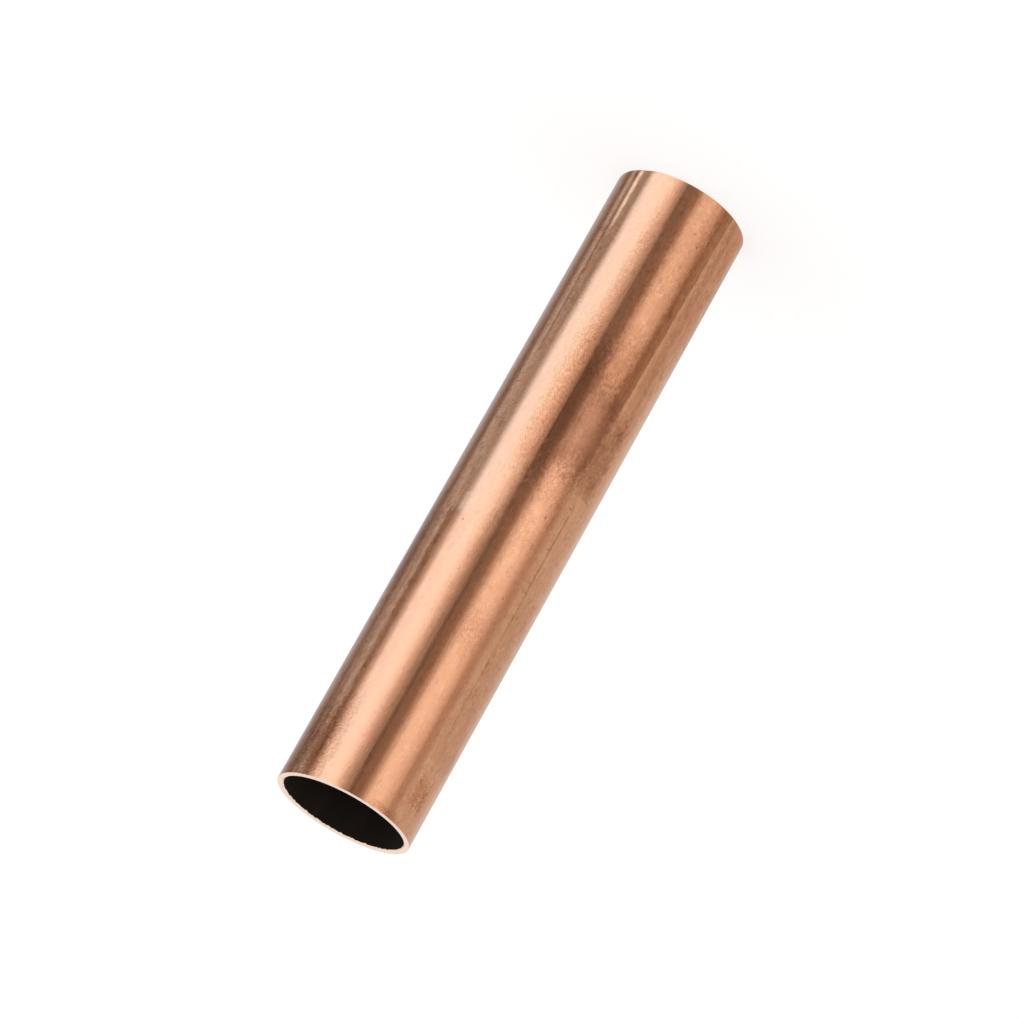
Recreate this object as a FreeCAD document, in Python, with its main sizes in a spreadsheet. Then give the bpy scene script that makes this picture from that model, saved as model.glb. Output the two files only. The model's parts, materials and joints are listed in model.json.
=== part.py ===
# A short straight length of drawn copper water tube, cut square and deburred at both ends.
# It would roll on its side, so it stands on one end: the axis runs up Z from the origin,
# which is the middle of the lower end. All sizes are in millimetres.
import FreeCAD, Part
import os
import Sketcher

# The driving dimensions: alias, size and what the size is.
SIZES = [
    ("outside_diameter", 28.575, "outside of the tube, 1.125 in on the nominal 1 in size"),
    ("wall_thickness", 1.27, "0.050 in, the medium wall of that size"),
    ("pipe_length", 145.0, "cut to this length, from end face to end face"),
    ("outer_edge_radius", 0.15, "rounding where the cut-off left a sharp outer edge"),
    ("bore_deburr", 0.25, "bevel that the reamer leaves on the mouth of the bore"),
]
NODE = "copper_pipe"
ENDS = 2


def make_sheet(doc):
    """The spreadsheet that holds every driving dimension under its alias."""
    sheet = doc.addObject("Spreadsheet::Sheet", "sizes")
    for row, (alias, size, meaning) in enumerate(SIZES, start=1):
        sheet.set(f"A{row}", alias)
        sheet.set(f"B{row}", str(size))
        sheet.set(f"C{row}", meaning)
        sheet.setAlias(f"B{row}", alias)
    doc.recompute()
    return sheet


def origin_plane(body, role):
    """The body's own origin plane of that role."""
    return next(feature for feature in body.Origin.OriginFeatures if feature.Role == role)


def circle_about_origin(sketch, diameter_name, diameter):
    """A circle centred on the sketch's origin, whose named diameter follows an expression."""
    drawn_radius = 1.0 + sketch.GeometryCount
    drawn = Part.Circle(FreeCAD.Vector(0, 0, 0), FreeCAD.Vector(0, 0, 1), drawn_radius)
    circle = sketch.addGeometry(drawn, False)
    sketch.addConstraint(Sketcher.Constraint("Coincident", circle, 3, -1, 1))
    size = sketch.addConstraint(Sketcher.Constraint("Diameter", circle, 2 * drawn_radius))
    sketch.renameConstraint(size, diameter_name)
    sketch.setExpression(f"Constraints.{diameter_name}", diameter)


def round_edges(shape, radius):
    """The names of the shape's two circles nearest to that radius, one at each end."""
    circles = [
        (abs(edge.Curve.Radius - radius), f"Edge{number}")
        for number, edge in enumerate(shape.Edges, start=1)
        if isinstance(edge.Curve, Part.Circle)
    ]
    return [name for gap, name in sorted(circles)[:ENDS]]


def make_pipe(doc, sheet):
    """The pipe: the ring of its section carried up the axis, then both ends finished."""
    body = doc.addObject("PartDesign::Body", NODE)
    body.Label = NODE

    # The section is the ring of the wall, drawn on the floor.
    section = body.newObject("Sketcher::SketchObject", "wall_section")
    section.AttachmentSupport = [(origin_plane(body, "XY_Plane"), "")]
    section.MapMode = "FlatFace"
    circle_about_origin(section, "outside", "sizes.outside_diameter")
    circle_about_origin(section, "bore", "sizes.outside_diameter - 2 * sizes.wall_thickness")

    drawn_tube = body.newObject("PartDesign::Pad", "drawn_tube")
    drawn_tube.Profile = section
    drawn_tube.Type = "Length"
    drawn_tube.setExpression("Length", "sizes.pipe_length")
    doc.recompute()

    # The cut leaves a sharp outer edge at each end, which is taken off with a file.
    outside_radius = sheet.outside_diameter / 2
    filed_edges = body.newObject("PartDesign::Fillet", "filed_outer_edges")
    filed_edges.Base = (drawn_tube, round_edges(drawn_tube.Shape, outside_radius))
    filed_edges.setExpression("Radius", "sizes.outer_edge_radius")
    doc.recompute()

    # The burr inside is reamed out, which bevels both mouths of the bore.
    bore_radius = outside_radius - sheet.wall_thickness
    reamed_mouths = body.newObject("PartDesign::Chamfer", "reamed_bore_mouths")
    reamed_mouths.Base = (filed_edges, round_edges(filed_edges.Shape, bore_radius))
    reamed_mouths.ChamferType = "Equal distance"
    reamed_mouths.setExpression("Size", "sizes.bore_deburr")
    body.Tip = reamed_mouths
    doc.recompute()
    return body


def check(doc, pieces):
    """Stops if any object failed to compute or any piece isn't one valid solid."""
    for item in doc.Objects:
        if "Invalid" in item.State or "Error" in item.State:
            raise RuntimeError(f"{item.Label} failed: {item.State}")
    for piece in pieces:
        shape = piece.Shape
        if shape.isNull() or not shape.isValid() or len(shape.Solids) != 1:
            raise RuntimeError(f"{piece.Label} isn't one valid solid")


def write(pieces):
    """Writes each piece to parts/, under its label, and prints its size and volume."""
    os.makedirs("parts", exist_ok=True)
    for piece in pieces:
        piece.Shape.exportStep(f"parts/{piece.Label}.step")
        box = piece.Shape.optimalBoundingBox()
        size = f"{box.XLength:.3f} x {box.YLength:.3f} x {box.ZLength:.3f} mm"
        print(f"{piece.Label}: {size}, {piece.Shape.Volume:.1f} mm3")


def main():
    doc = FreeCAD.newDocument("copper_pipe_length")
    sheet = make_sheet(doc)
    pieces = [make_pipe(doc, sheet)]
    check(doc, pieces)
    write(pieces)


main()
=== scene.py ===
import json
import math
import bpy
import numpy as np
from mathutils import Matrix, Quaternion, Vector


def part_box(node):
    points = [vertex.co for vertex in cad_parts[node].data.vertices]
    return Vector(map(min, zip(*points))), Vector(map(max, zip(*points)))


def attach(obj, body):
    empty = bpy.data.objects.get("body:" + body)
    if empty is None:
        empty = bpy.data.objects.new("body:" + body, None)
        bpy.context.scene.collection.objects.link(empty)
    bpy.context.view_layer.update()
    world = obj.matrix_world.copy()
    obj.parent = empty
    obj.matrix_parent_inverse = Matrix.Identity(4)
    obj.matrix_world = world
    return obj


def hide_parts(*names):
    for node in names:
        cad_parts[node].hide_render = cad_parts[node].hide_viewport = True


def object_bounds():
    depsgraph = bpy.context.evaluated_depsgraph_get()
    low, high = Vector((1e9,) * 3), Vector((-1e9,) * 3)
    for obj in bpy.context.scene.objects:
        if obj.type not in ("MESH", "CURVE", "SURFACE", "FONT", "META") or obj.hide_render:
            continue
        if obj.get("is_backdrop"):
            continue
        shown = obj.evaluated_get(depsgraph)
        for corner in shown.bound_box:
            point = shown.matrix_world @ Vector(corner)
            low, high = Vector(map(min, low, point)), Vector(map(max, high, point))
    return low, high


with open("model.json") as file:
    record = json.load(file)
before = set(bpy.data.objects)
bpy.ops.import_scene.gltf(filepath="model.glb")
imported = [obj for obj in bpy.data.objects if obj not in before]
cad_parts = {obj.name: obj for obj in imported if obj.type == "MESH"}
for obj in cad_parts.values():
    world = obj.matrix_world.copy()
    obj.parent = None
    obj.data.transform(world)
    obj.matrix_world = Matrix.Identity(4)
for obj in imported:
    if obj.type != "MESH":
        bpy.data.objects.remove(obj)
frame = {"record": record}
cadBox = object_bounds()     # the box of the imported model, to compare with the dressed one

# the pipe's sizes in metres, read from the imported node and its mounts
pipeFoot, pipeTop = (corner.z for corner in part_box("copper_pipe"))
mounts = {mount["name"]: mount["dims"] for mount in frame["record"]["mounts"]}
outsideRadius = mounts["upper_end_outside"]["r_mm"] / 1000
boreRadius = mounts["bore"]["r_mm"] / 1000
pipeLength = pipeTop - pipeFoot
edgeBreak = (pipeLength - mounts["upper_end_outside"]["length_mm"] / 1000) / 2
boreBevel = (pipeLength - mounts["bore"]["length_mm"] / 1000) / 2
faceIn, faceOut = boreRadius + boreBevel, outsideRadius - edgeBreak     # the flat ring of an end
arcPerDegree = 1000 * outsideRadius * math.pi / 180      # mm round the outside for one degree
perRadian = 180 / math.pi                                # degrees in a radian
print("pipe", pipeLength, "long,", 2 * outsideRadius, "across, edge", edgeBreak, "bevel", boreBevel)


# a socket of a node tree: + - * / and ** on it add Math nodes, and make() adds any other node
class Wire:
    def __init__(self, tree, socket=None):
        self.tree, self.socket = tree, socket

    # a node of that kind: its settings come first, then the values or links of its sockets
    def make(self, kind, settings=None, values=None, output=0):
        node = self.tree.nodes.new(kind)
        for name, setting in (settings or {}).items():
            setattr(node, name, setting)
        for name, value in (values or {}).items():
            if isinstance(value, Wire):
                self.tree.links.new(value.socket, node.inputs[name])
            else:
                node.inputs[name].default_value = value
        return Wire(self.tree, node.outputs[output]) if len(node.outputs) else node

    def math(self, operation, *values):
        return self.make("ShaderNodeMath", {"operation": operation}, dict(enumerate(values)))

    def __add__(self, other):
        return self.math("ADD", self, other)

    def __sub__(self, other):
        return self.math("SUBTRACT", self, other)

    def __rsub__(self, other):
        return self.math("SUBTRACT", other, self)

    def __mul__(self, other):
        return self.math("MULTIPLY", self, other)

    def __truediv__(self, other):
        return self.math("DIVIDE", self, other)

    def __pow__(self, other):
        return self.math("POWER", self, other)

    def __neg__(self):
        return self.math("MULTIPLY", self, -1)

    __radd__, __rmul__ = __add__, __mul__

    # smooth step: first until the value comes to start, and last from where it comes to end. It can't
    # overshoot, and Cycles has no room for the node that each clamp would add
    def rise(self, start, end, first=0, last=1):
        values = {"Value": self, "From Min": start, "From Max": end, "To Min": first, "To Max": last}
        settings = {"interpolation_type": "SMOOTHSTEP", "clamp": False}
        return self.make("ShaderNodeMapRange", settings, values)

    # how far it is past a place, counted in steps
    def past(self, place, step):
        return self.math("MULTIPLY_ADD", self, 1 / step, -place / step)

    # 1 between start and end, falling to 0 over a soft edge at each; an edge wanders by a share of its
    # own softness, and one whose place is None is left out
    def between(self, start, end, startSoft, endSoft, wander=0):
        inside = 1
        if start is not None:
            inside = (self.past(start, startSoft) + wander).rise(-0.5, 0.5)
        if end is not None:
            inside = (self.past(end, endSoft) + wander).rise(0.5, -0.5) * inside
        return inside

    # one colour turning into another as the value goes from 0 to 1
    def blend(self, first, second, how="MIX"):
        settings = {"data_type": "RGBA", "blend_type": how}
        return self.make("ShaderNodeMix", settings, {0: self, 6: first, 7: second}, 2)

    # x, y and z of a vector
    def split(self):
        parts = self.make("ShaderNodeSeparateXYZ", {}, {0: self})
        return [Wire(self.tree, output) for output in parts.socket.node.outputs]


def newMaterial(name):
    material = bpy.data.materials.new(name)
    material.use_nodes = True
    material.node_tree.nodes.clear()
    print("material", name)
    return material, Wire(material.node_tree)


# a shader from its values, wired to the output of its material
def finishMaterial(wire, values):
    shader = wire.make("ShaderNodeBsdfPrincipled", {"distribution": "MULTI_GGX"}, values)
    wire.make("ShaderNodeOutputMaterial", {}, {"Surface": shader})


# the object's own coordinates in millimetres
def surfacePlace(wire):
    place = wire.make("ShaderNodeTexCoord", {}, {}, "Object")
    return wire.make("ShaderNodeVectorMath", {"operation": "SCALE"}, {0: place, "Scale": 1000})


# the turn round the pipe's axis in degrees, which is 0 towards the camera and grows towards -X
def turnRound(x, y):
    return x.math("ARCTAN2", -x, -y) * perRadian


# noise whose grains are size millimetres, made longer along the three axes by stretch; slant turns
# it, in radians. The noises in the dictionaries below give these values in this order
def grain(wire, place, size, stretch=(1, 1, 1), detail=2.0, rough=0.5, slant=0.0):
    values = {"Vector": place, "Scale": [size * times for times in stretch], "Rotation": (0, 0, slant)}
    mapped = wire.make("ShaderNodeMapping", {"vector_type": "TEXTURE"}, values)
    return wire.make("ShaderNodeTexNoise", {}, {"Vector": mapped, "Scale": 1.0, "Detail": detail,
                                                "Roughness": rough})


# relief in micrometres as a bent normal
def relief(wire, height):
    return wire.make("ShaderNodeBump", {}, {"Height": height, "Strength": 1.0, "Distance": 1e-6})


# the outside: bright drawn copper with what handling and storage left on it
drawnCopper = {
    "clean": (0.95, 0.46, 0.27, 1),
    "polish": 0.15,        # roughness of the clean skin
    "dulled": 0.21,        # roughness where it is darkest
    "darkest": 1.2,        # the strength of all its stains together there
    "thinned": (0.34, 0.66),     # the noise where a stain is thinnest and where it is full
    "wander": 3,           # how far the noise moves a stain's edge, as a share of its softness
    "slantFrom": 50,       # the height where a slanting stain has its own turn, in millimetres
    "speckled": (0.8, 1.0),      # how far the fine grain lightens and darkens it, clean and stained
    "streaked": (0.45, 0.7),     # the same of the short streaks
    "grainTint": (0.74, 1.0, 1.18),   # the shares of the grain that red, green and blue take
    "patchy": (0.35, 0.65, 0.45, 1.5),      # noise from and to, and how much of the grain is there
    # where the grain differs: turn from and to, how soft they are, and by how much
    "rubbed": ((-43, -17, 8, 10), 0.6),     # less, where it was rubbed bright
    "scoured": ((-84, -44, 6, 5), 0.55),    # more, on the side towards +X
    "calm": ((-30, 34, 10, 8), (92, 114), 0.4),      # less, growing between these heights
    "wiped": ((-26, -4, 6, 6), (36, 74, 10, 10)),    # turns and heights of the wiped strokes
    "pitEdge": (1.8, 0.3),       # where a pit ends and where it is full, in its radius squared
    "pitStain": 0.6,       # how dark it is
    # heights in micrometres
    "peel": 8.0,           # the fine pebbling
    "drawLines": 4.0,      # the lines that the die left
    "ripple": 12.0,        # the broad lengthwise ripple
    "feathers": 9.0,       # the wiped strokes
    "pitDepth": 20.0,
}
skinNoises = {
    "pebbles": (0.34, (1, 1, 2.0), 3, 0.65),
    "drawLines": (0.3, (1, 1, 20), 3, 0.6),
    "ripple": (1.6, (1, 1, 12)),
    "specks": (1.4, (1, 1, 1.2), 3, 1.0),
    "streaks": (0.9, (1, 1, 6), 3, 0.8),
    "mottle": (0.8, (1, 1, 1.5), 5, 0.7),
    "clouds": (2.8, (1, 1, 1.3), 5, 0.75),
    "threads": (0.35, (1, 1, 9), 3, 0.65),
    "feathers": (0.32, (1, 3.0, 1), 3, 0.65, -0.6),
    "flecks": (0.4, (1, 2.0, 1), 3, 0.8, 0.8),
    "chatter": (0.4, (3.5, 1, 1), 3, 0.8, 0.1),
    "patches": (2.2, (1, 1, 1.6)),
}
flatNoises = ("feathers", "flecks", "chatter")      # these lie on the skin as if it were unrolled
skinTints = {       # what each stain leaves of the copper's red, green and blue, where it is full
    # painted shade that dims the mirrored bright band, not a stain
    "haze": (0.97, 0.62, 0.42, 1),
    "brown": (0.52, 0.45, 0.43, 1),
    "umber": (0.58, 0.47, 0.39, 1),
    "amber": (0.70, 0.48, 0.32, 1),
    "orange": (0.80, 0.53, 0.26, 1),
}
# stains on the skin, and one painted shade on the mirrored bright band: tint, turn from and to, height
# from and to, how soft they are at the start, the end, the foot and the head, strength, the noise that
# breaks them up and how much, and how many degrees they slant over a millimetre
foot, head = None, None      # a stain that runs out over this end of the pipe has no edge there
stains = [
    # painted shade: dims the mirrored bright band above 83.6 mm, where its reflection steps down
    ("haze", (-44, -27), (83.6, head), (6, 10, 1, 1), 0.25, "clouds", 0.3, 0),
    ("umber", (-60, -39), (83.6, head), (3, 5, 1, 1), 0.22, "mottle", 0.6, 0),
    ("amber", (-46, -36), (83.6, head), (4, 4, 1, 1), 0.38, "mottle", 0.6, 0),
    ("umber", (-51, -45), (83.2, head), (2.5, 3.5, 1.4, 1), 0.68, "threads", 0.25, -0.037),
    ("umber", (-51, -45), (83.2, 104), (2.5, 3.5, 1.4, 30), 0.4, "mottle", 0.4, -0.037),
    ("umber", (-58.8, -53.5), (76, head), (2.5, 2.5, 16, 1), 0.7, "threads", 0.5, 0),
    ("brown", (-66, -62.6), (foot, head), (2.5, 2.5, 1, 1), 0.3, "threads", 0.5, 0),
    ("brown", (-79, -64), (79, 104), (6, 6, 16, 16), 0.85, "clouds", 0.4, 0),
    ("umber", (-66, -38), (129, head), (12, 6, 6, 1), 0.9, "flecks", 1.0, 0),
    ("umber", (-40, -30), (127, head), (4, 5, 8, 1), 0.65, "flecks", 0.9, 0),
    ("umber", (-64, -46), (126, head), (6, 5, 8, 1), 0.25, "mottle", 1.0, 0),
    ("umber", (-60, -41), (134, 141), (6, 4, 4, 4), 0.5, "clouds", 0.6, 0),
    ("brown", (-80, -62), (130, head), (6, 6, 20, 1), 0.5, "clouds", 0.5, 0),
    ("umber", (-14, -7), (83, head), (3, 3, 20, 1), 0.28, "threads", 0.4, 0),
    # wiped with a rag while the flux was wet
    ("amber", (-24, -5), (38, 70), (8, 3, 10, 10), 0.62, "feathers", 1.0, 0),
    ("umber", (-20, -9), (12, 42), (4, 4, 14, 10), 0.5, "flecks", 1.0, 0),
    ("umber", (10, 27), (100, 109), (6, 6, 5, 5), 0.45, "feathers", 1.0, 0),
    # the dark patch in the middle and its ragged ends
    ("brown", (-5.5, 9), (40, 70), (1, 3, 12, 16), 0.9, "clouds", 0.2, 0),
    ("brown", (9, 38), (47, 66), (2, 3, 8, 7), 0.95, "clouds", 0.2, 0),
    ("umber", (8, 32), (63, 74), (6, 6, 6, 8), 0.5, "flecks", 1.0, 0),
    ("umber", (8, 30), (37, 50), (4, 4, 9, 6), 0.75, "mottle", 0.2, 0),
    ("umber", (38, 59), (50, 68.4), (2, 7, 6, 2), 0.88, "clouds", 0.5, 0),
    # long stripes from there to the foot
    ("umber", (27.5, 38.9), (foot, 49), (6, 1.2, 1, 12), 1.0, "threads", 0.25, 0.085),
    ("umber", (45, 49.5), (foot, 44), (2, 2, 1, 8), 0.4, "mottle", 0.7, 0.03),
    ("umber", (50, 54.5), (foot, 58), (2, 2, 1, 8), 0.45, "mottle", 0.7, 0),
    ("amber", (42, 62), (foot, 56), (3, 8, 1, 16), 0.4, "clouds", 0.6, 0),
    ("umber", (5, 28), (foot, 40), (6, 10, 1, 12), 0.4, "clouds", 0.4, 0),
    ("orange", (61, 104), (foot, 32), (12, 40, 1, 24), 1.0, "clouds", 0.5, 0),
    ("umber", (42, 84), (90, 130), (8, 10, 12, 5), 0.25, "clouds", 0.6, 0),
    ("umber", (-52.6, -49.7), (foot, 44), (1.6, 1.6, 1, 8), 0.85, "threads", 0.4, -0.05),
    ("umber", (74, 104), (foot, 33), (10, 30, 1, 24), 0.4, "clouds", 0.6, 0),
    ("umber", (-45.5, -41), (8, 40), (2.5, 2.5, 10, 10), 0.2, "threads", 0.4, 0),
    ("umber", (-61, -38), (10, 40), (4, 4, 10, 12), 0.45, "chatter", 1.0, 0),
    ("umber", (-66, -43), (40, 80), (6, 4, 12, 8), 0.33, "chatter", 1.0, 0),
    ("umber", (-61, -51), (14.4, 14.8), (2, 2, 0.3, 0.3), 0.7, "mottle", 0.5, 0),
    ("umber", (-62, -53), (15.1, 15.4), (2, 2, 0.3, 0.3), 0.7, "mottle", 0.5, 0),
    ("umber", (-58, -51), (52.4, 53.0), (2, 2, 0.4, 0.4), 0.6, "mottle", 0.5, 0),
    ("umber", (-58, -51), (61.2, 61.8), (2, 2, 0.4, 0.4), 0.5, "mottle", 0.5, 0),
    ("umber", (-41, -35), (foot, 34), (3, 4, 1, 8), 0.35, "flecks", 1.0, 0),
    # scuffs towards the upper end
    ("amber", (42, 61), (134, 140), (6, 6, 3, 2), 1.0, "flecks", 1.0, 0),
    ("umber", (14, 42), (143.4, head), (8, 6, 0.8, 1), 0.8, "flecks", 1.0, 0),
    ("umber", (64, 75), (125, 131), (5, 5, 4, 4), 0.35, "mottle", 0.5, 0),
    # scratches from one end to the other
    ("umber", (-4.8, -1.8), (80, head), (0.8, 1, 14, 1), 0.8, "threads", 0.6, 0),
    ("amber", (-6, -3.8), (foot, 80), (0.8, 2.5, 1, 14), 0.55, "threads", 0.4, 0),
    ("umber", (44.2, 45.9), (71, 92), (0.8, 0.8, 3, 3), 0.9, "mottle", 0.6, 0.02),
    ("umber", (44.2, 46), (92, 124), (0.8, 0.8, 3, 3), 0.7, "clouds", 1.0, 0),
    ("umber", (29.4, 31.0), (112, head), (1.2, 1.2, 12, 1), 0.3, "threads", 0.5, 0),
    # the back, which the photograph doesn't show, has the same kinds of marks
    ("umber", (118, 149), (foot, 66), (30, 9, 1, 36), 0.45, "clouds", 0.7, 0.03),
    ("umber", (153, 156.5), (foot, head), (2, 3, 1, 1), 0.55, "threads", 0.6, 0.03),
    ("amber", (104, 138), (96, head), (16, 18, 30, 1), 0.4, "clouds", 0.7, 0),
    ("umber", (126, 158), (84, 104), (10, 8, 10, 10), 0.55, "feathers", 1.0, 0),
    ("brown", (-166, -132), (58, 118), (9, 24, 24, 30), 0.5, "clouds", 0.6, 0),
    ("umber", (-128, -122), (foot, head), (3, 8, 1, 1), 0.4, "threads", 0.6, -0.02),
    ("umber", (-158, -118), (16, 44), (12, 8, 8, 10), 0.55, "flecks", 1.0, 0),
]
# lengthwise ledges, too low to see but for what they mirror: turn from and to, height from and to,
# how soft they are at foot and head, micrometres that the skin sinks by
ledges = [
    ((-55.5, -47), (foot, 18), (1, 14), 155),
    ((-53.5, -41), (foot, 18), (1, 14), 200),
    ((-57.5, -54), (foot, 18), (1, 12), -20),
    ((-45, -38), (79.2, 83.3), (1, 1), 28),
]
pits = [        # turn, height, radius in millimetres
    (28.0, 95.5, 0.22),
    (28.0, 83.0, 0.22),
    (26.0, 76.8, 0.30),
    (42.0, 81.4, 0.25),
    (32.0, 72.0, 0.28),
    (42.0, 71.8, 0.25),
    (-33.0, 85.0, 0.22),
    (19.0, 8.8, 0.22),
    (26.5, 10.8, 0.25),
    (35.0, 7.2, 0.22),
    (25.3, 144.4, 0.15),
    (29.5, 144.2, 0.22),
    (37.0, 143.9, 0.14),
]


# a stain's strength: a soft-edged box in turn and height, thinned where the noise is low
def stainShape(turn, height, grains, turns, heights, softs, dark, noise, broken, slant):
    startSoft, endSoft, footSoft, headSoft = softs
    if slant:
        turn = turn + (height - drawnCopper["slantFrom"]) * slant
    shape = turn.between(*turns, startSoft, endSoft, grains["wander"])
    shape = shape * height.between(*heights, footSoft, headSoft, grains["wander"])
    return shape * grains[noise].rise(*drawnCopper["thinned"], dark * (1 - broken), dark)


def makeDrawnCopper():
    material, wire = newMaterial("drawnCopper")
    place = surfacePlace(wire)
    x, y, height = place.split()
    turn = turnRound(x, y)
    flat = wire.make("ShaderNodeCombineXYZ", {}, {0: turn * arcPerDegree, 1: height})
    grains = {}
    for name, recipe in skinNoises.items():
        grains[name] = grain(wire, flat if name in flatNoises else place, *recipe)
    grains["wander"] = (grains["mottle"] - 0.5) * drawnCopper["wander"]

    # stains on the flat noises come last: Cycles has those noises ready late, and each stain that waits
    # for one takes up some of the little room that it has for a material
    color, dulling = drawnCopper["clean"], 0
    for tint, *marks in sorted(stains, key=lambda stain: any(mark in flatNoises for mark in stain)):
        shape = stainShape(turn, height, grains, *marks)
        color = shape.blend(color, skinTints[tint], "MULTIPLY")
        dulling = shape + dulling
    hollow = 0
    for pitTurn, pitHeight, size in pits:
        away = (((turn - pitTurn) * arcPerDegree) ** 2 + (height - pitHeight) ** 2) / size ** 2
        hollow = away.rise(*drawnCopper["pitEdge"]) + hollow
    color = (hollow * drawnCopper["pitStain"]).blend(color, skinTints["umber"], "MULTIPLY")

    # the grain: noise less its middle, so that it lightens as much as it darkens
    uneven = (grains["specks"] - 0.5) * dulling.rise(0, 1, *drawnCopper["speckled"]) \
        + (grains["streaks"] - 0.5) * dulling.rise(0, 1, *drawnCopper["streaked"])
    turns, share = drawnCopper["rubbed"]
    worn = 1 - turn.between(*turns) * share
    turns, share = drawnCopper["scoured"]
    worn = turn.between(*turns) * share + worn
    turns, heights, share = drawnCopper["calm"]
    worn = turn.between(*turns) * height.rise(*heights, 0, -share) + worn
    uneven = uneven * worn * grains["patches"].rise(*drawnCopper["patchy"])
    shade = {0: uneven, 1: drawnCopper["grainTint"], 2: (1, 1, 1)}
    shade = wire.make("ShaderNodeVectorMath", {"operation": "MULTIPLY_ADD"}, shade)
    color = wire.make("ShaderNodeVectorMath", {"operation": "MULTIPLY"}, {0: color, 1: shade})
    roughness = dulling.rise(0, drawnCopper["darkest"], drawnCopper["polish"], drawnCopper["dulled"])

    level = grains["pebbles"] * drawnCopper["peel"] + grains["drawLines"] * drawnCopper["drawLines"] \
        + grains["ripple"] * drawnCopper["ripple"] - hollow * drawnCopper["pitDepth"]
    turns, heights = drawnCopper["wiped"]
    wiped = turn.between(*turns) * height.between(*heights)
    level = level + wiped * grains["feathers"] * drawnCopper["feathers"]
    for (start, end), heights, softs, drop in ledges:
        level = turn.rise(start, end, 0, -drop) * height.between(*heights, *softs) + level
    finishMaterial(wire, {"Base Color": color, "Metallic": 1.0, "Roughness": roughness,
                          "Normal": relief(wire, level)})
    return material


# the ends: fresh copper with the rings that the cutter left, a little scuffed
cutCopper = {
    "color": (0.92, 0.71, 0.57, 1),
    "scuffed": (0.80, 0.57, 0.45, 1),
    "scuffShows": (0.4, 0.75),   # the noise from which a scuff shows and where it is full
    "polish": 0.3,
    "scuffs": (0.5, (1, 1, 1), 3, 0.6),
    "scuffDepth": 3,       # micrometres
    "rings": (0.12,),
    "ringDepth": 3.0,      # micrometres
    "ringDrift": 0.02,     # how much a ring changes round the pipe, in millimetres for a degree
}


def makeCutCopper():
    material, wire = newMaterial("cutCopper")
    place = surfacePlace(wire)
    x, y, height = place.split()
    radius = (x * x + y * y) ** 0.5
    drift = turnRound(x, y) * cutCopper["ringDrift"]
    ringPlace = wire.make("ShaderNodeCombineXYZ", {}, {0: radius, 1: drift, 2: height})
    rings = grain(wire, ringPlace, *cutCopper["rings"])
    scuffs = grain(wire, place, *cutCopper["scuffs"])
    color = scuffs.rise(*cutCopper["scuffShows"]).blend(cutCopper["color"], cutCopper["scuffed"])
    level = rings * cutCopper["ringDepth"] + scuffs * cutCopper["scuffDepth"]
    finishMaterial(wire, {"Base Color": color, "Metallic": 1.0, "Roughness": cutCopper["polish"],
                          "Normal": relief(wire, level)})
    return material


# the bore: painted shade, almost black, darker than the copper's own brown inside, with faint brown
# mottling
paintedBoreShade = {
    # near black: painted shade of the inside
    "color": (0.012, 0.008, 0.006, 1),
    "brown": (0.022, 0.012, 0.008, 1),
    "brownShows": (0.35, 0.7),   # the noise from which it turns brown and where it is all brown
    "dullness": 0.8,       # roughness
    "sheen": 0.15,         # specular level
    "clouds": (4, (1, 1, 3), 4, 0.6),
    "lines": (0.5, (1, 1, 40), 3),
    "lineDepth": 20.0,     # micrometres of the marks along the bore
}


# the bore's material: near-black painted shade with faint brown mottling and lines along it
def makePaintedBoreShade():
    material, wire = newMaterial("paintedBoreShade")
    place = surfacePlace(wire)
    clouds = grain(wire, place, *paintedBoreShade["clouds"])
    lines = grain(wire, place, *paintedBoreShade["lines"])
    color = clouds.rise(*paintedBoreShade["brownShows"]).blend(paintedBoreShade["color"], paintedBoreShade["brown"])
    finishMaterial(wire, {"Base Color": color, "Roughness": paintedBoreShade["dullness"],
                          "Specular IOR Level": paintedBoreShade["sheen"],
                          "Normal": relief(wire, lines * paintedBoreShade["lineDepth"])})
    return material


pipeGrid = {
    "columns": 480,
    "outsideRows": 120,
    "boreRows": 30,
    "edgeRows": 5,
    "faceRows": 3,
    "bevelRows": 3,
    "crowding": 0.6,       # how much the rows crowd towards both ends
    "sharpFrom": 30,       # degrees between two faces whose edge is shaded sharp
}


# heights from foot to head, set closer at both ends: t - c sin(2 pi t) / (2 pi) for t from 0 to 1
def crowdedHeights(foot, head, rows):
    step = np.linspace(0, 1, rows)
    share = step - pipeGrid["crowding"] * np.sin(2 * math.pi * step) / (2 * math.pi)
    return foot + (head - foot) * share


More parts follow.
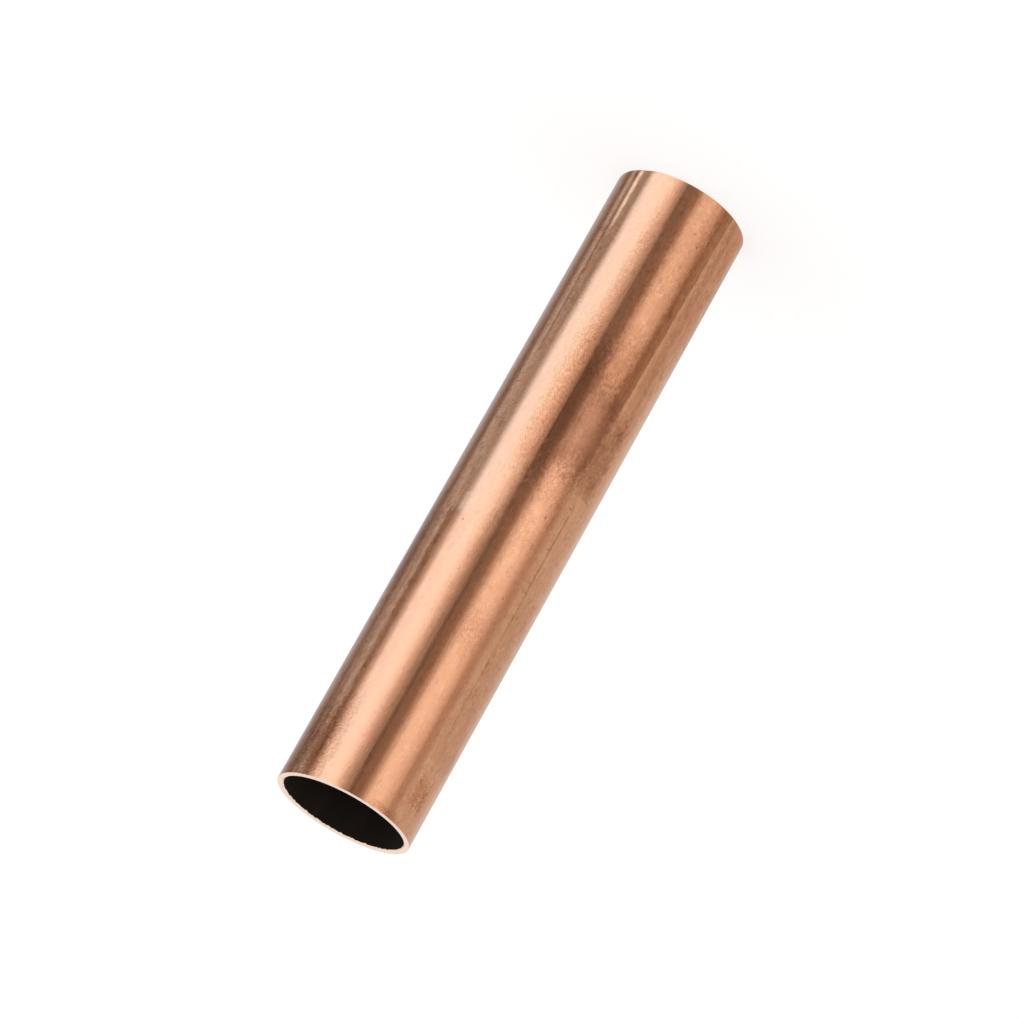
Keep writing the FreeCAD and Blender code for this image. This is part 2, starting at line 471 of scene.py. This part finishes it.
# the wall's outline as a closed run of points (radius, height), and each one's finish: up the outside,
# round the broken edge on a quarter circle, edgeBreak times its cosine out and its sine up, in over
# the face, down the bevel and the bore, and out below by the same path
def makeWallRows():
    # the bore's finish is near-black painted shade
    drawn, cut, shadedBoreFinish = range(3)         # the finishes, in the order of the pipe's material slots
    quarter = np.linspace(0, math.pi / 2, pipeGrid["edgeRows"] + 1)
    faceRadii = np.linspace(faceOut, faceIn, pipeGrid["faceRows"] + 1)
    bevel = np.linspace(0, boreBevel, pipeGrid["bevelRows"] + 1)
    outside = crowdedHeights(pipeFoot + edgeBreak, pipeTop - edgeBreak, pipeGrid["outsideRows"])
    bore = crowdedHeights(pipeFoot + boreBevel, pipeTop - boreBevel, pipeGrid["boreRows"])[::-1]
    upper, lower = pipeTop - edgeBreak, pipeFoot + edgeBreak
    stretches = [
        (drawn, outsideRadius + 0 * outside, outside),
        (cut, faceOut + edgeBreak * np.cos(quarter[1:]), upper + edgeBreak * np.sin(quarter[1:])),
        (cut, faceRadii[1:], pipeTop + 0 * faceRadii[1:]),
        (cut, faceIn - bevel[1:], pipeTop - bevel[1:]),
        (shadedBoreFinish, boreRadius + 0 * bore[1:], bore[1:]),
        (cut, boreRadius + bevel[1:], pipeFoot + boreBevel - bevel[1:]),
        (cut, faceRadii[::-1][1:], pipeFoot + 0 * faceRadii[1:]),
        (cut, faceOut + edgeBreak * np.sin(quarter[1:-1]), lower - edgeBreak * np.cos(quarter[1:-1])),
    ]
    finishes, radii, heights = zip(*stretches)
    finishes = np.repeat(finishes, [len(run) for run in radii])
    return np.concatenate(radii), np.concatenate(heights), finishes


drawWaves = [       # times round, twists in the length, depth in millimetres
    (2, 0.2, 0.020),
    (7, 0.35, 0.010),
    (13, -0.6, 0.006),
    (29, 0.8, 0.0025),
]
hollows = [         # turn, height, half width in degrees, half length in mm, depth in mm
    (-46.5, -4, 5.0, 20, 0.10),
    (-56.0, -4, 2.5, 22, 0.06),
    (128, 96, 9, 10, 0.05),
    (-150, 38, 12, 8, 0.06),
    (168, 61, 6, 24, 0.04),
]
burr = {
    "lip": 0.06,           # how far it stands into the bore, in millimetres
    "creep": 0.07,         # how far its edge wanders along the bore
    "around": (95, 265),   # where it was left on the upper mouth, in degrees
    "fade": 20,            # degrees over which it thins out at both ends of that
    "least": 0.25,         # how much of it is left on the rest of the mouth
    "reach": 5,            # how far under the top it ends, in heights of the bevel
    "seeds": (3, 4),       # of its ragged lines into the bore and along it
    "counts": (23, 31, 47, 61, 89),      # how many waves each of these has round the mouth
}


# how far the outside lies under its full radius: cosines round the pipe, whose crests twist slowly
# along it, each lifted so that nothing stands proud, and a bell-shaped dip at each hollow
def reliefDepth(turn, height):
    depth = 0
    for times, twists, deep in drawWaves:
        phase = times * turn + 2 * math.pi * twists * height / pipeLength + times ** 2
        depth = depth + deep * (1 + np.cos(phase)) / 2
    for centre, middle, wide, long, deep in hollows:
        aside = (np.degrees(turn) - centre + 180) % 360 - 180
        depth = depth + deep * np.exp(-(aside / wide) ** 2 - ((1000 * height - middle) / long) ** 2)
    return depth / 1000


# a ragged line round the mouth, mostly between -1 and 1: twice the mean of cosines that go round it
# whole numbers of times, each from a phase that the seed gives
def raggedLine(turn, seed):
    counts = burr["counts"]
    phases = np.random.default_rng(seed).uniform(0, 2 * math.pi, len(counts))
    waves = [np.cos(count * turn + phase) for count, phase in zip(counts, phases)]
    return np.sum(waves, axis=0) / len(counts) * 2


# a closed grid of points (rows, columns, 3) as a mesh, joined round both ways
def makeGridMesh(name, points):
    rows, columns = points.shape[:2]
    row, column = np.meshgrid(np.arange(rows), np.arange(columns), indexing="ij")
    nextRow, nextColumn = (row + 1) % rows, (column + 1) % columns
    corners = [(row, column), (row, nextColumn), (nextRow, nextColumn), (nextRow, column)]
    quads = np.stack([a * columns + b for a, b in corners], -1).reshape(-1, 4)
    mesh = bpy.data.meshes.new(name)
    mesh.from_pydata(points.reshape(-1, 3), [], quads)
    mesh.polygons.foreach_set("use_smooth", np.ones(len(quads), bool))
    return mesh


# the wall's outline carried round the axis: a point at a turn lies at -radius times its sine and
# -radius times its cosine, with the relief taken off the outside
def makePipe():
    radii, heights, finishes = makeWallRows()
    turn = np.linspace(0, 2 * math.pi, pipeGrid["columns"], endpoint=False)
    radius = radii[:, None] + 0 * turn
    height = heights[:, None] + 0 * turn
    onOutside = np.clip((radius - faceIn) / (faceOut - faceIn), 0, 1)
    radius -= reliefDepth(turn, height) * onOutside

    # the burr: the lower edge of the upper bevel wanders, and stands into the bore. It grows from
    # nothing at the face to all of it at that edge, and thins out again under it
    reach = burr["reach"]
    fromEdge = np.clip((pipeTop - height) / boreBevel, 0, 1) * (radius < faceIn) \
        * np.clip((height - pipeTop + reach * boreBevel) / ((reach - 1) * boreBevel), 0, 1)
    degrees = np.degrees(turn)
    start, end = burr["around"]
    left = np.clip(np.minimum(degrees - start, end - degrees) / burr["fade"], 0, 1)
    left = burr["least"] + (1 - burr["least"]) * left
    lipSeed, creepSeed = burr["seeds"]
    radius -= fromEdge * left * burr["lip"] / 1000 * (1 + raggedLine(turn, lipSeed)) / 2
    height += fromEdge * left * burr["creep"] / 1000 * raggedLine(turn, creepSeed)

    points = np.stack([-radius * np.sin(turn), -radius * np.cos(turn), height], -1)[:, ::-1]
    mesh = makeGridMesh("copperPipe", points)
    for material in (makeDrawnCopper(), makeCutCopper(), makePaintedBoreShade()):
        mesh.materials.append(material)
    # a face takes the finish of the row that it runs up to
    mesh.polygons.foreach_set("material_index", np.repeat(np.roll(finishes, -1), pipeGrid["columns"]))
    mesh.set_sharp_from_angle(angle=math.radians(pipeGrid["sharpFrom"]))
    pipe = bpy.data.objects.new("copperPipe", mesh)
    bpy.context.scene.collection.objects.link(pipe)
    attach(pipe, "root")
    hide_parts("copper_pipe")
    print("pipe made,", len(mesh.polygons), "faces")


floorLook = {
    "radius": 4.0,
    "corners": 96,
    "color": (0.35, 0.35, 0.35, 1),
    "glow": 0.66,           # lit from behind, so that the pipe barely shades it
}


# a flat disc: the corners of its rim lie at radius times the cosine and the sine of their turn
def makeFloor():
    turn = np.linspace(0, 2 * math.pi, floorLook["corners"], endpoint=False)
    rim = np.stack([floorLook["radius"] * np.cos(turn), floorLook["radius"] * np.sin(turn), 0 * turn], -1)
    mesh = bpy.data.meshes.new("floor")
    mesh.from_pydata(rim, [], [np.arange(len(turn))])
    floor = bpy.data.objects.new("floor", mesh)
    bpy.context.scene.collection.objects.link(floor)
    material, wire = newMaterial("paleFloor")
    finishMaterial(wire, {"Base Color": floorLook["color"], "Specular IOR Level": 0.0,
                          "Emission Color": (1, 1, 1, 1), "Emission Strength": floorLook["glow"]})
    mesh.materials.append(material)
    floor.visible_glossy = False     # the pipe mirrors the light tent, which goes on below the floor
    floor.visible_shadow = False
    floor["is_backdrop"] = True
    print("floor laid")


# the light tent round the pipe: upright softboxes by compass angle, in degrees from the camera's
# side towards -X; each runs from start to end with its own soft edges
lightTent = {
    "walls": (0.205, 0.185, 0.165),
    "boxes": [
        {"turn": (-79.2, -25.8), "soft": (16, 41), "color": (0.73, 1.17, 1.48)},  # key
        {"turn": (-76, -50), "soft": (10, 14), "color": (0.0, 0.0, 0.14)},        # its cool middle
        {"turn": (-76, -13), "soft": (8, 13), "color": (0.12, 0.06, 0.0)},        # its warm side
        {"turn": (-40, -20), "soft": (14, 10), "color": (0.14, 0.03, 0.0)},       # and warm edge
        {"turn": (12.8, 65.9), "soft": (33, 41), "color": (0.20, 0.07, 0.01)},    # warm fringe
        {"turn": (16.7, 54.2), "soft": (18, 42), "color": (0.56, 0.76, 0.84)},    # fill
        {"turn": (71.5, 137), "soft": (19, 27), "color": (0.345, 0.385, 0.39)},   # side wall
        {"turn": (137, 180), "soft": (29, 24), "color": (0.43, 0.42, 0.37)},      # back wall
        {"turn": (137, 164), "soft": (29, 14), "color": (0.03, 0.09, 0.15)},      # its cool side
        {"turn": (-118, -92.5), "soft": (12, 48), "color": (0.30, 0.43, 0.54)},   # strip
        {"turn": (-97, -83), "soft": (8, 10), "color": (0.045, 0.04, 0.045)},     # pale gap
        {"turn": (-180, -144), "soft": (24, 50), "color": (0.315, 0.43, 0.55)},   # cool back wall
    ],
    "horizon": (-2, 12),   # degrees of height over which the boxes give way to the white ceiling
    "ceiling": 1.0,
    "backdrop": 1.06,      # what lights the floor and shows beyond it
}


def makeLightTent():
    world = bpy.data.worlds.new("lightTent")
    bpy.context.scene.world = world
    world.use_nodes = True
    world.node_tree.nodes.clear()
    wire = Wire(world.node_tree)
    x, y, z = wire.make("ShaderNodeTexCoord", {}, {}, "Generated").split()
    compass = turnRound(x, y)
    above = wire.math("ARCSINE", z) * perRadian
    light = (*lightTent["walls"], 1)
    for box in lightTent["boxes"]:
        start, end = box["turn"]
        off = wire.math("WRAP", compass, (start + end) / 2 + 180, (start + end) / 2 - 180)
        light = off.between(start, end, *box["soft"]).blend(light, (*box["color"], 1), "ADD")
    light = above.rise(*lightTent["horizon"]).blend(light, (lightTent["ceiling"],) * 3 + (1,))
    tent = wire.make("ShaderNodeBackground", {}, {"Color": light, "Strength": 1.0})
    plain = {"Color": (1, 1, 1, 1), "Strength": lightTent["backdrop"]}
    plain = wire.make("ShaderNodeBackground", {}, plain)
    mirrored = wire.make("ShaderNodeLightPath", {}, {}, "Is Glossy Ray")
    both = wire.make("ShaderNodeMixShader", {}, {0: mirrored, 1: plain, 2: tent})
    wire.make("ShaderNodeOutputWorld", {}, {"Surface": both})
    print("light tent hung,", len(lightTent["boxes"]), "softboxes")


cameraPlace = {
    "aim": (0.00007, 0, 0.07427),      # the point that it looks at, on the pipe's axis
    "distance": 0.87502,
    "down": 20.754,             # degrees that it looks down
    "roll": -150.682,           # degrees that it is turned about its own line of sight
    "lens": 156.37,             # millimetres, as the sensor
    "sensor": 36,
}


def makeCamera():
    down = math.radians(cameraPlace["down"])
    look = Vector((0, math.cos(down), -math.sin(down)))
    data = bpy.data.cameras.new("camera")
    data.lens, data.sensor_width = cameraPlace["lens"], cameraPlace["sensor"]
    camera = bpy.data.objects.new("camera", data)
    camera.location = Vector(cameraPlace["aim"]) - look * cameraPlace["distance"]
    camera.rotation_mode = "QUATERNION"
    roll = Quaternion((0, 0, 1), math.radians(cameraPlace["roll"]))
    camera.rotation_quaternion = look.to_track_quat("-Z", "Y") @ roll
    bpy.context.scene.collection.objects.link(camera)
    bpy.context.scene.camera = camera
    print("camera set at", tuple(round(along, 4) for along in camera.location))


makePipe()
makeFloor()
makeLightTent()
makeCamera()
bpy.context.scene.view_settings.view_transform = "Standard"

sizes = {"cad": cadBox, "dressed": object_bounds()}
sizes = {name: [list(corner) for corner in box] for name, box in sizes.items()}
